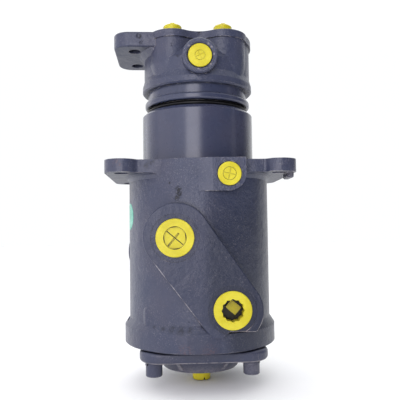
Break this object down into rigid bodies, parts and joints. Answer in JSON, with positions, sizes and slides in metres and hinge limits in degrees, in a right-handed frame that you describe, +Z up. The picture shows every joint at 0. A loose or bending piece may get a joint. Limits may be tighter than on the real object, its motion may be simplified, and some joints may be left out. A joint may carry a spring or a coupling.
{
  "type": "excavator center swivel joint",
  "caption": "Hydraulic centre swivel joint: a ported casing with an eared flange, and a turning rotor head with oil ports, plugged for transport.",
  "frame": {"origin": "on the turning axis, in the plane of the top of the ear flange", "axes": "+Z up the turning axis to the head, -Y to the two large front ports, +X to the right of them"},
  "size_m": [0.21, 0.1783, 0.416],
  "materials": {
    "paint": "satin grey-blue primer paint",
    "plug_yellow": "moulded, semi-gloss",
    "rubber_black": "matt",
    "steel": "turned",
    "bronze": "turned",
    "seal_plastic": "filled fluoropolymer"
  },
  "bodies": {
    "casing": {"casing": "paint", "thrust_washer": "bronze", "dust_seal": "rubber_black", "bottom_cover": "paint", "bottom_cover_ring": "rubber_black", "cover_screws": "paint", "cover_spring_washers": "paint", "bottom_plug": "plug_yellow", "slipper_seal_1": "seal_plastic", "slipper_seal_2": "seal_plastic", "slipper_seal_3": "seal_plastic", "slipper_seal_4": "seal_plastic", "slipper_seal_5": "seal_plastic", "slipper_seal_6": "seal_plastic", "slipper_seal_7": "seal_plastic", "seal_energiser_1": "rubber_black", "seal_energiser_2": "rubber_black", "seal_energiser_3": "rubber_black", "seal_energiser_4": "rubber_black", "seal_energiser_5": "rubber_black", "seal_energiser_6": "rubber_black", "seal_energiser_7": "rubber_black", "guide_ring_upper": "seal_plastic", "guide_ring_lower": "seal_plastic", "upper_port_plug": "plug_yellow", "lower_port_plug": "plug_yellow", "left_port_plug": "plug_yellow", "rear_port_plug": "plug_yellow", "pilot_port_plug": "plug_yellow", "drain_port_plug": "plug_yellow"},
    "rotor": {"rotor": "paint", "thrust_plate": "steel", "thrust_plate_bolts": "steel", "head_plug_front_left": "plug_yellow", "head_plug_front_right": "plug_yellow", "head_plug_rear_left": "plug_yellow", "head_plug_rear_right": "plug_yellow", "head_boss_plug_front": "plug_yellow", "head_boss_plug_rear": "plug_yellow"}
  },
  "joints": [
    {"name": "rotor_swivel", "type": "hinge", "parent": "casing", "child": "rotor", "pos_m": [0, 0, 0], "axis": [0, 0, 1], "continuous": true}
  ]
}
